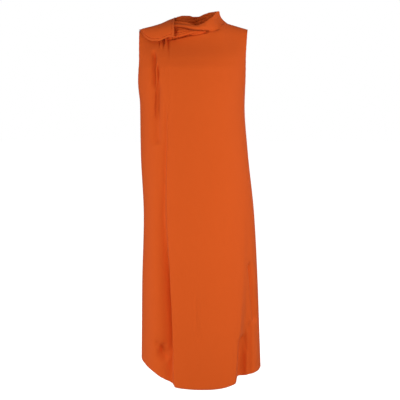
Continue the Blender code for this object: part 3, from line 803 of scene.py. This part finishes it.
# Crepe in a piece's own pebble and crumple; a spot is a faint darker mark on the cloth
def crepeMaterial(name, pebble=0.6, crumple=0.15, spot=None):
    material = bpy.data.materials.new(name)
    material.use_nodes = True
    tree = material.node_tree
    shader = tree.nodes["Principled BSDF"]
    cloth = addNode(tree, "ShaderNodeUVMap", uv_map="cloth").outputs[0]
    place = addNode(tree, "ShaderNodeTexCoord").outputs["Object"]
    weave = addNode(tree, "ShaderNodeGroup", node_tree=groups["crepe"])
    tree.links.new(cloth, weave.inputs["Place"])
    weave.inputs["Pebble"].default_value = pebble
    handling = addNode(tree, "ShaderNodeGroup", node_tree=groups["handling"])
    tree.links.new(place, handling.inputs["Place"])
    rim = addNode(tree, "ShaderNodeAttribute", attribute_name="rim").outputs["Fac"]
    # Painted shade from the weave's Tone, plus random broad tone from handling, picks between the
    # shaded and lit colours
    shadeAndTone = mathNode(tree, "ADD", *(
        mathNode(tree, "MULTIPLY", part.outputs["Tone"], share)
        for part, share in zip((weave, handling), crepeLook["toneShares"])
    ))
    rubbed = mathNode(tree, "POWER", rim, crepeLook["wearPower"])
    rubbed = mathNode(tree, "MULTIPLY", rubbed, crepeLook["wear"])
    colour = mixColours(tree, crepeLook["shaded"], crepeLook["lit"], shadeAndTone)
    colour = mixColours(tree, colour, crepeLook["worn"], rubbed)
    if spot:
        away = addNode(tree, "ShaderNodeVectorMath", {0: place, 1: spot["place"]}, operation="DISTANCE")
        near = addNode(tree, "ShaderNodeMapRange",
                       {"Value": away.outputs["Value"], "From Min": spot["size"], "From Max": 0.0,
                        "To Max": spot["strength"]}, interpolation_type="SMOOTHSTEP")
        colour = mixColours(tree, colour, crepeLook["shaded"], near.outputs[0])
    tree.links.new(colour, shader.inputs["Base Color"])
    rough = scaleAdd(tree, weave.outputs["Tone"], -crepeLook["smooth"], crepeLook["roughness"])
    tree.links.new(rough, shader.inputs["Roughness"])
    fine = addNode(tree, "ShaderNodeBump",
                   {"Height": weave.outputs["Height"], "Strength": crepeLook["bump"],
                    "Distance": crepeLook["bumpDeep"]})
    soft = addNode(tree, "ShaderNodeBump",
                   {"Height": handling.outputs["Crumple"], "Strength": crumple,
                    "Distance": crepeLook["crumpleDeep"], "Normal": fine.outputs[0]})
    tree.links.new(soft.outputs[0], shader.inputs["Normal"])
    for socket, value in crepeLook["shader"].items():
        shader.inputs[socket].default_value = value
    return material


# Sewing thread: two tones wound round each other
def threadMaterial():
    material = bpy.data.materials.new("thread")
    material.use_nodes = True
    tree = material.node_tree
    shader = tree.nodes["Principled BSDF"]
    ply = addNode(tree, "ShaderNodeTexWave", {"Scale": 900.0, "Distortion": 1.5},
                  bands_direction="DIAGONAL")
    place = addNode(tree, "ShaderNodeTexCoord").outputs["Object"]
    tree.links.new(place, ply.inputs["Vector"])
    colour = mixColours(tree, crepeLook["shaded"], crepeLook["worn"], ply.outputs["Fac"])
    tree.links.new(colour, shader.inputs["Base Color"])
    shader.inputs["Roughness"].default_value = 0.6
    return material


frontSpot = {"place": (0.088, -0.160, -0.745), "size": 0.012, "strength": 0.6}
materials = {
    "front": crepeMaterial("crepeFront", spot=frontSpot),
    "back": crepeMaterial("crepeBack"),
    "collar": crepeMaterial("crepeCollar", pebble=0.7, crumple=0.25),
    "thread": threadMaterial(),
}
print("materials made")

frontPiece = panelCloth("frontPanel", frontColumns, side=-1, rows=170, turnRows=64,
                        creases=frontCreases, material=materials["front"])
dressPiece(frontPiece, "front")
print("front made")
backPiece = panelCloth("backPanel", backColumns, side=1, rows=170, turnRows=30,
                       creases=backCreases, material=materials["back"])
dressPiece(backPiece, "back")
print("back made")


# The direction a plain panel faces: the cross product of a step down and a step aside
def outwardOf(across, below, side):
    def at(aside, down):
        low = np.maximum(below, body["probeDepth"])
        return panelPoint(across + aside * body["probe"], low + down * body["probe"], side, True)

    return unit(-side * np.cross(at(0, 1) - at(0, 0), at(1, 0) - at(-1, 0)))


# The collar band: lower edge down below the neckline and off the panel, upper edge topOut from
# the neckline in plan, belly between them
band = {
    "columns": ("angle", "down", "off", "topOut", "topZ", "belly"),
    "rows": (
        (-100, 0, 0, 0.004, -0.0025, 0),
        (-80, 0.0040, 0.0040, 0.004, -0.0030, 0.0010),
        (-62, 0.0080, 0.0080, 0.005, -0.0042, 0.0025),
        (-42, 0.0076, 0.0085, 0.005, -0.0036, 0.0038),
        (-33, 0.0066, 0.0088, 0.005, -0.0030, 0.0042),
        (-20, 0.0032, 0.0088, 0.0045, -0.0052, 0.0045),
        (-10, 0.0021, 0.0085, 0.004, -0.0070, 0.0045),
        (4, 0.0026, 0.0080, 0.003, -0.0098, 0.0040),
        (16, 0.0014, 0.0055, -0.001, -0.0030, 0.0036),
        (30, 0.0002, 0.0020, -0.006, 0.0100, 0.0026),
        (52, 0, 0, -0.016, 0.0285, 0.0010),
        (72, 0, 0, -0.0220, 0.0410, 0),
        (80, 0, 0, -0.0200, 0.0438, 0),
        (90, 0, 0, -0.0165, 0.0430, 0),
        (102, 0, 0, -0.0165, 0.0430, 0),
        (116, 0, 0, -0.0190, 0.0460, 0),
        (140, 0, 0, -0.018, 0.0445, 0.0010),
        (155, 0, 0, -0.016, 0.0400, 0.0012),
        (170, 0, 0, -0.014, 0.0318, 0.0015),
        (180, 0, 0, -0.014, 0.0316, 0.0015),
        (190, 0, 0, -0.014, 0.0352, 0.0015),
        (206, 0, 0, -0.018, 0.0345, 0),
        (216, 0, 0, -0.018, 0.0310, 0),
        (222, 0, 0, -0.019, 0.0288, 0),
        (228, 0, 0, -0.022, 0.0224, 0),
        (244, 0, 0, -0.018, 0.0105, 0),
        (260, 0, 0, 0.004, -0.0015, 0),
    ),
}
bandShape = {
    "start": -97,
    "end": 260,
    "flare": (26, 56, 124, 165),    # angles where the foot sweeps out on to the shoulder
    "flareOut": 0.0100,
    "flareLeast": 0.02,
    "flareCurve": 2.2,      # power of its sweep up to the stand
    "sweepBelow": 0.004,    # where the ring under it is measured, below the upper edge
    "freeFrom": 0.003,      # further off the panel than this, the foot is free and not seamed
    "seatDown": 0.0030,     # how far the seam lies inside the panels' neck edge
    "seatIn": 0.0011,
    "clear": 0.0003,        # and its gap to the panels, seamed and flared
    "flareClear": 0.0006,
    "footTurn": 0.0042,     # the free foot turns under; the seam hardly
    "seamTurn": 0.0007,
    "footRows": 4,
    "lip": 0.0015,          # and the upper edge turns in
    "lipRows": 3,
    "rippleFrom": (100, 118, 168, 184),    # ripples of the upper edge, left of the back's middle
    "rippleTurns": 15,
    "rippleUneven": (0.6, 2.3),            # a second ripple's share, and how much quicker it is
    "rippleDeep": 0.0011,
    "steps": (290, 26),     # round and up
}
facingTable = {
    "columns": ("angle", "inset", "lift", "fall", "slope"),
    "rows": (
        (-100, 0.0024, -0.0010, 0.010, 0), (-75, 0.0070, 0, 0.014, 0),
        (-60, 0.0100, 0.0040, 0.026, 0), (-30, 0.0105, 0.0078, 0.034, 0),
        (-10, 0.0095, 0.0062, 0.036, 0), (4, 0.0060, 0.0010, 0.036, 0),
        (14, 0.0030, -0.0010, 0.038, 0), (30, 0.0024, -0.0010, 0.042, 0),
        (90, 0.0024, -0.0010, 0.044, 0), (140, 0.0024, -0.0010, 0.038, -0.004),
        (176, 0.0024, -0.0010, 0.028, -0.008), (190, 0.0024, -0.0010, 0.026, 0.008),
        (208, 0.0024, -0.0010, 0.024, 0.014), (226, 0.0024, -0.0010, 0.020, 0.012),
        (244, 0.0024, -0.0010, 0.010, 0.004), (260, 0.0024, -0.0010, 0.006, 0),
    ),
}
facingShape = {
    "steps": 24,
    "streaks": 2.4,             # soft folds round the inside of the back
    "streakDeep": 0.0012,
    "streakWave": (0.7, 5),     # how far they wander, and how often round the neck
    "streakDown": (0.02, 0.15),
    "streakFrom": (118, 140),
}


# The point of the body a distance outside the neckline in plan
def besideNeck(angle, distance):
    goal = neckPoint(angle) + outwards(angle) * distance[..., None]
    side = np.where(np.cos(np.radians(angle)) > 0, -1, 1)
    across = acrossAt(goal[..., 0], body["shoulderHalf"])
    points = []
    for way in (-1, 1):
        edge = upperEdge(across, way)
        wide = ring(across, edge[..., 2] - bandShape["sweepBelow"], way)[1] - edge[..., 1]
        share = np.clip((goal[..., 1] - edge[..., 1]) / wide, 0, 1)
        below = roundHeight(across) * (1 - np.sqrt(1 - share * share))
        points.append(panelPoint(across, below, way, True))
    return np.where((side < 0)[..., None], *points)


# From the foot (up 0) the band rises upright, then leans in to its upper edge (up 1)
def bandPoint(angle, up):
    down, off, topOut, topZ, belly = (readTable(band, name, angle) for name in band["columns"][1:])
    flared = within(angle, *bandShape["flare"])
    feet = []
    for side, turn in ((-1, angle), (1, (360 - angle) % 360 - 180)):
        across = np.clip(turn / 90, -1, 1) * body["neckShare"]
        out = outwardOf(across, down, side)
        feet.append(panelPoint(across, down, side, True) + out * off[..., None])
    foot = np.where((np.cos(np.radians(angle)) > 0)[..., None], *feet)
    seated = (1 - between(off, 0, bandShape["freeFrom"])) * (1 - flared)
    foot = foot - outwards(angle) * (bandShape["seatIn"] * seated)[..., None]
    foot[..., 2] += bandShape["clear"] - bandShape["seatDown"] * seated
    sweep = bandShape["flareOut"] * np.maximum(flared, bandShape["flareLeast"])
    swept = besideNeck(angle, sweep)
    swept[..., 2] += bandShape["flareClear"]
    foot = foot + (swept - foot) * flared[..., None]
    head = neckPoint(angle) + outwards(angle) * topOut[..., None]
    head[..., 2] = topZ
    inward = (1 - flared) * up**2 + flared * (1 - (1 - up) ** bandShape["flareCurve"])
    share = np.stack([inward, inward, up], -1)
    shown = within(angle, *bandShape["rippleFrom"]) * up**2
    turn = np.radians(angle * bandShape["rippleTurns"])
    second, quicker = bandShape["rippleUneven"]
    ripple = np.sin(turn) + second * np.sin(quicker * turn)
    bulge = belly * np.sin(np.pi * up) + bandShape["rippleDeep"] * shown * ripple
    return foot + (head - foot) * share + outwards(angle) * bulge[..., None]


# The band's grid round the neck, its foot turned under and its upper edge turned in
def collarBand():
    around, rows = bandShape["steps"]
    angles = np.linspace(bandShape["start"], bandShape["end"], around)
    points = bandPoint(*np.meshgrid(angles, np.linspace(0, 1, rows)))
    normals = facing(points, 1)
    seated = 1 - between(readTable(band, "off", angles), 0, bandShape["freeFrom"])
    gap = bandShape["footTurn"] + (bandShape["seamTurn"] - bandShape["footTurn"]) * seated
    points = turnedRows(points, normals, gap[:, None], bandShape["footRows"])
    added = bandShape["footRows"] + len(turnAngles)
    normals = np.concatenate([np.repeat(normals[:1], added, 0), normals])
    points = turnedRows(points[::-1], normals[::-1], bandShape["lip"], bandShape["lipRows"])[::-1]
    rim = nearEdge(points, body["collarRim"], ("top",))
    return clothObject("collarBand", points, materials["collar"], rim)


# The facing hangs from the band's upper edge, inset from it and streaked with soft folds
def collarFacing():
    angles = np.linspace(bandShape["start"], bandShape["end"], bandShape["steps"][0])
    angle, down = np.meshgrid(angles, np.linspace(1, 0, facingShape["steps"]))
    place = bandPoint(angle, np.ones_like(angle))
    names = facingTable["columns"][1:]
    inset, lift, fall, slope = (readTable(facingTable, name, angle) for name in names)
    place = place - outwards(angle) * (inset + slope * down)[..., None]
    place[..., 2] += lift - fall * down
    wander, turns = facingShape["streakWave"]
    streak = facingShape["streaks"] * down + wander * np.sin(np.radians(angle * turns))
    streak = np.sin(2 * np.pi * streak) * between(down, *facingShape["streakDown"])
    streak = streak * between(angle, *facingShape["streakFrom"])
    place = place - outwards(angle) * (facingShape["streakDeep"] * streak)[..., None]
    rim = nearEdge(place, body["collarRim"], ("top",))
    return clothObject("collarFacing", place, materials["collar"], rim)


dressPiece(collarBand(), "collar_band")
dressPiece(collarFacing(), "collar_facing")
print("collar made")

tuck = {
    "columns": ("x", "topZ", "foldZ", "stand"),
    "rows": (
        (0.050, -0.0270, -0.0296, 0.0030),
        (0.022, -0.0264, -0.0294, 0.0092),
        (0, -0.0242, -0.0350, 0.0108),
        (-0.023, -0.0196, -0.0420, 0.0122),
        (-0.048, -0.0150, -0.0506, 0.0130),
        (-0.061, -0.0140, -0.0480, 0.0110),
        (-0.088, -0.0140, -0.0500, 0.0070),
    ),
}
tuckShape = {
    "steps": (90, 44),
    "passes": 16,
    "off": 0.0010,
    "fall": 0.62,           # share of its length that falls; the rest turns under
    "swell": 0.8,
    "sunk": 0.0080,         # how far its upper edge sinks in
    "sunkReach": 0.0032,
    "endSunk": 0.0075,      # and its left end dips under the front, between these x
    "endReach": (0.030, 0.047),
    "wrinkles": 3.2,        # lengthwise, and how they slant
    "wrinkleSlant": 9,
    "wrinkleDeep": 0.0014,
    "wrinkleFrom": (0, 0.2, 0.85, 1),    # shares of the fall
    "wrinkleFade": (0.045, -0.02),
    "dip": (-0.0592, 0.0120, 0.0056),    # x, depth and width of a trough beside the flap's end
    "scallops": (0.35, 3.5),             # how much and how often it widens on its way down
}


# The plain front's outer face at a given x and z, and its direction: the place across is stepped
# until x is met
def frontAt(x, z):
    across = acrossAt(x, body["shoulderHalf"])
    for _ in range(tuckShape["passes"]):
        below = np.maximum(upperEdge(across, -1)[..., 2] - z, 0)
        miss = x - panelPoint(across, below, -1, True)[..., 0]
        across = across + miss / (2 * body["shoulderHalf"])
    below = np.maximum(upperEdge(across, -1)[..., 2] - z, 0)
    return panelPoint(across, below, -1, True), outwardOf(across, below, -1)


# The tuck falls off the front from its upper edge, swelling out to its folded edge, and turns
# under there along half a circle; wrinkles are sines along it
def frontTuck():
    across, rows = tuckShape["steps"]
    ends = columnOf(tuck, "x")[[0, -1]]
    x, along = np.meshgrid(np.linspace(*ends, across), np.linspace(0, 1, rows))
    top, crease, stand = (readTable(tuck, name, x) for name in ("topZ", "foldZ", "stand"))
    bend = (stand - tuckShape["off"]) / 2
    fall = np.clip(along / tuckShape["fall"], 0, 1)
    turn = np.pi * np.clip((along - tuckShape["fall"]) / (1 - tuckShape["fall"]), 0, 1)
    z = top + (crease + bend - top) * fall - bend * np.sin(turn)
    off = tuckShape["off"] + 2 * bend * fall ** tuckShape["swell"] - bend * (1 - np.cos(turn))
    wavy = np.sin(2 * np.pi * tuckShape["wrinkles"] * fall + tuckShape["wrinkleSlant"] * x)
    wavy = wavy * within(fall, *tuckShape["wrinkleFrom"])
    off = off + tuckShape["wrinkleDeep"] * wavy * between(x, *tuckShape["wrinkleFade"])
    off = off - tuckShape["sunk"] * between(top - z, tuckShape["sunkReach"], 0)
    off = off - tuckShape["endSunk"] * between(x, *tuckShape["endReach"])
    place, depth, width = tuckShape["dip"]
    much, often = tuckShape["scallops"]
    off = off - depth * bell(x - place, width * (1 + much * np.sin(2 * np.pi * often * fall)))
    here, out = frontAt(x, z)
    return clothObject("frontTuck", here + out * off[..., None], materials["collar"])


dressPiece(frontTuck(), "front_tuck")
print("tuck made")

flap = {
    "columns": ("along", "x", "ridgeY", "ridgeZ", "frontX", "frontY", "frontZ",
                "backX", "backY", "backZ", "square"),
    "rows": (
        (0, -0.0600, 0.035, 0.0250, -0.0618, -0.1130, -0.0510, -0.0500, 0.0800, 0, 2.30),
        (1, -0.0700, 0.012, 0.0202, -0.0700, -0.1090, -0.0478, -0.0660, 0.0900, -0.0160, 2.30),
        (2, -0.0860, -0.015, 0.0120, -0.0800, -0.1040, -0.0484, -0.0840, 0.0930, -0.0300, 2.30),
        (3, -0.1040, -0.028, 0.0034, -0.0950, -0.0980, -0.0544, -0.1040, 0.0920, -0.0420, 2.30),
        (4, -0.1250, -0.031, -0.0040, -0.1120, -0.0890, -0.0598, -0.1250, 0.0860, -0.0500, 2.30),
        (5, -0.1400, -0.030, -0.0088, -0.1300, -0.0780, -0.0594, -0.1400, 0.0760, -0.0460, 2.30),
        (6, -0.1550, -0.026, -0.0122, -0.1450, -0.0660, -0.0544, -0.1540, 0.0600, -0.0370, 2.30),
        (7, -0.1690, -0.020, -0.0148, -0.1590, -0.0510, -0.0440, -0.1660, 0.0460, -0.0320, 2.30),
        (8, -0.1815, -0.012, -0.0190, -0.1735, -0.0250, -0.0255, -0.1775, 0.0260, -0.0280, 2.20),
    ),
}
flapShape = {
    "hem": 0.0085,          # a narrow hem along the free edges
    "hemStep": 0.0010,
    "hemEdge": 0.0006,
    "grooveDeep": 0.0015,   # pressed in along its stitching
    "grooveWide": 0.0016,
    "wave": 0.0008,         # slow waves, two sines of different length
    "waveTurns": (31, 17),
    "waveUneven": 2.3,
    "steps": (150, 190),    # along and around
    "pull": 0.8,            # how far they are drawn together at the edges
    "edgeReach": 0.03,
    "rim": 0.010,
}
stitch = {
    "long": 0.0026,
    "gap": 0.0009,
    "thick": 0.00022,
    "rise": 1.6,            # in the middle, in thicknesses, and how far its ends are sunk
    "sunk": 0.5,
    "taper": 0.95,
    "rings": 6,
    "sides": 6,
}


# Superellipse arcs over the shoulder, from the free edge in front across the ridge to the
# edge behind
def flapPoint(along, around):
    front = around < 0
    turn = np.pi / 2 * np.abs(around)
    power = 2 / readTable(flap, "square", along)
    down, toSide = np.cos(turn) ** power, np.sin(turn) ** power
    ridgeX, ridgeY, ridgeZ = (readTable(flap, name, along) for name in ("x", "ridgeY", "ridgeZ"))
    farX, farY, farZ = (
        np.where(front, readTable(flap, "front" + axis, along), readTable(flap, "back" + axis, along))
        for axis in "XYZ"
    )
    x, y = ridgeX + (farX - ridgeX) * toSide, ridgeY + (farY - ridgeY) * toSide
    return np.stack([x, y, farZ + (ridgeZ - farZ) * down], -1)


# The flap's grid, with a narrow hem: a step up beside its free edges and a groove where it ends
def flapGrid():
    length, pull, (alongSteps, aroundSteps) = flap["rows"][-1][0], flapShape["pull"], flapShape["steps"]
    along = length * gathered(alongSteps, pull)
    around = 2 * gathered(aroundSteps, pull) - 1
    points = flapPoint(*np.meshgrid(along, around))
    reach, hem, edge = flapShape["edgeReach"], flapShape["hem"], flapShape["hemEdge"]
    away = reach * (1 - nearEdge(points, reach))
    lift = flapShape["hemStep"] * between(away, hem + edge, hem - edge)
    lift = lift - flapShape["grooveDeep"] * bell(away - hem, flapShape["grooveWide"])
    turn = points[..., 0] * flapShape["waveTurns"][0] + points[..., 1] * flapShape["waveTurns"][1]
    lift = lift + flapShape["wave"] * np.sin(turn) * np.sin(flapShape["waveUneven"] * turn + 1)
    return points - facing(points, 1) * lift[..., None]


# The line of a grid that lies a distance in from its first column
def lineInside(grid, points, distance):
    along = lengthAlong(points, 1)
    k = np.argmax(along > distance, 1)
    row = np.arange(len(k))
    t = ((distance - along[row, k - 1]) / (along[row, k] - along[row, k - 1]))[:, None]
    return grid[row, k - 1] * (1 - t) + grid[row, k] * t


# Stitches along a line: tapered threads that come up out of the cloth and go in again, rings of
# points round half a sine
def stitches(name, line, out):
    length = lengthAlong(line, 0)
    pitch = stitch["long"] + stitch["gap"]
    starts = np.arange(int(length[-1] / pitch)) * pitch
    t = np.linspace(0, 1, stitch["rings"])
    at = starts[:, None] + stitch["long"] * t
    centre = np.stack([np.interp(at, length, line[:, k]) for k in range(3)], -1)
    up = unit(np.stack([np.interp(at, length, out[:, k]) for k in range(3)], -1))
    rise = stitch["thick"] * (stitch["rise"] * np.sin(np.pi * t) - stitch["sunk"])
    centre = centre + up * rise[None, :, None]
    ahead = unit(np.gradient(centre, axis=1))
    aside = unit(np.cross(ahead, up))
    turn = np.linspace(0, 2 * np.pi, stitch["sides"] + 1)[:-1]
    thick = stitch["thick"] * np.sqrt(np.clip(1 - (stitch["taper"] * (2 * t - 1)) ** 2, 0, 1))
    spokes = aside[:, :, None] * np.cos(turn)[:, None] + up[:, :, None] * np.sin(turn)[:, None]
    hoops = centre[:, :, None] + spokes * thick[None, :, None, None]
    index = np.arange(hoops.size // 3).reshape(hoops.shape[:3])
    after = np.roll(index, -1, 2)
    quads = np.stack((index[:, :-1], after[:, :-1], after[:, 1:], index[:, 1:]), -1).reshape(-1, 4)
    ends = [index[:, 0, ::-1].tolist(), index[:, -1].tolist()]
    mesh = bpy.data.meshes.new(name)
    caps = [face[::-1] for end in ends for face in end]
    mesh.from_pydata(hoops.reshape(-1, 3).tolist(), [], quads[:, ::-1].tolist() + caps)
    mesh.shade_smooth()
    mesh.materials.append(materials["thread"])
    piece = newObject(name, mesh)
    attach(piece, "root")
    return piece


# The flap, and the stitches of its hem along the front edge and the end
def shoulderFlap():
    points = flapGrid()
    out = -facing(points, 1)
    hem = flapShape["hem"]
    end, outEnd = (np.swapaxes(grid, 0, 1)[:, ::-1] for grid in (points, out))
    threads = [
        stitches("flapStitchesFront", lineInside(end, end, hem), lineInside(outEnd, end, hem)),
        stitches("flapStitchesEnd", lineInside(points, points, hem), lineInside(out, points, hem)),
    ]
    rim = nearEdge(points, flapShape["rim"])
    piece = clothObject("shoulderFlap", points, materials["collar"], rim, flip=True)
    dressPiece(piece, "shoulder_flap")


shoulderFlap()
print("flap made")

# The stage: a wide flat floor, lights, a camera
studio = {
    "floorBelow": 0.30,       # under the hem
    "floorHalf": 30.0,
    "floorColour": (0.20, 0.20, 0.20, 1),
    "floorGlow": 1.00,        # what the camera sees of the floor beside its own shade
    "world": 0.235,           # light from all round; the camera sees it white
    "lights": (               # name, place, watts, size
        ("over", (-0.45, -0.80, 1.30), 3.7, 1.4),
        ("front", (0.06, -1.70, -0.45), 12.4, 1.0),
        ("right", (-1.80, -1.80, -0.80), 11.6, 1.2),
        ("rightSide", (-2.40, -0.30, -1.20), 27.0, 1.2),
        ("left", (1.80, -1.80, -0.45), 8.3, 1.2),
        ("leftSide", (2.40, -0.50, -0.20), 25.0, 1.2),
        ("behind", (0.30, 2.60, -0.10), 37.0, 1.6),
    ),
    "aim": (0.022, 0.0, -0.589),
    "distance": 3.3,
    "elevation": 5.5,
    "lens": 87.3,
}


# A flat square grid in pale grey, which the camera sees white
def makeFloor():
    half, z = studio["floorHalf"], body["hem"] - studio["floorBelow"]
    side = np.linspace(-half, half, 9)
    x, y = np.meshgrid(side, side)
    quads = gridFaces(len(side), len(side)).reshape(-1, 4)
    mesh = bpy.data.meshes.new("floor")
    mesh.from_pydata(np.stack([x, y, z + 0 * x], -1).reshape(-1, 3).tolist(), [], quads.tolist())
    material = bpy.data.materials.new("paleFloor")
    material.use_nodes = True
    tree = material.node_tree
    shader = tree.nodes["Principled BSDF"]
    shader.inputs["Base Color"].default_value = studio["floorColour"]
    shader.inputs["Roughness"].default_value = 0.9
    shader.inputs["Emission Color"].default_value = (1, 1, 1, 1)
    seen = addNode(tree, "ShaderNodeLightPath").outputs["Is Camera Ray"]
    glow = mathNode(tree, "MULTIPLY", seen, studio["floorGlow"])
    tree.links.new(glow, shader.inputs["Emission Strength"])
    mesh.materials.append(material)
    newObject("floor", mesh)


# Turned so that its own -Z points from place to the aim
def aimed(place):
    return (Vector(studio["aim"]) - Vector(place)).to_track_quat("-Z", "Y").to_euler()


# Even light from the world, and square lamps aimed at the dress
def makeLights():
    world = bpy.data.worlds.new("studio")
    world.use_nodes = True
    tree = world.node_tree
    seen = addNode(tree, "ShaderNodeLightPath").outputs["Is Camera Ray"]
    strength = mathNode(tree, "MAXIMUM", seen, studio["world"])
    tree.nodes["Background"].inputs["Color"].default_value = (1, 1, 1, 1)
    tree.links.new(strength, tree.nodes["Background"].inputs["Strength"])
    bpy.context.scene.world = world
    for name, place, watts, size in studio["lights"]:
        lamp = bpy.data.lights.new(name, "AREA")
        lamp.energy = watts
        lamp.size = size
        light = newObject(name, lamp)
        light.location = place
        light.rotation_euler = aimed(place)


# The camera stands in front, a little above the aim
def makeCamera():
    camera = newObject("camera", bpy.data.cameras.new("camera"))
    camera.data.lens = studio["lens"]
    elevation = np.radians(studio["elevation"])
    away = Vector((0, -np.cos(elevation), np.sin(elevation)))
    camera.location = Vector(studio["aim"]) + studio["distance"] * away
    camera.rotation_euler = aimed(camera.location)
    bpy.context.scene.camera = camera
    bpy.context.scene.view_settings.view_transform = "Standard"


makeFloor()
makeLights()
makeCamera()
print("stage, lights and camera made")
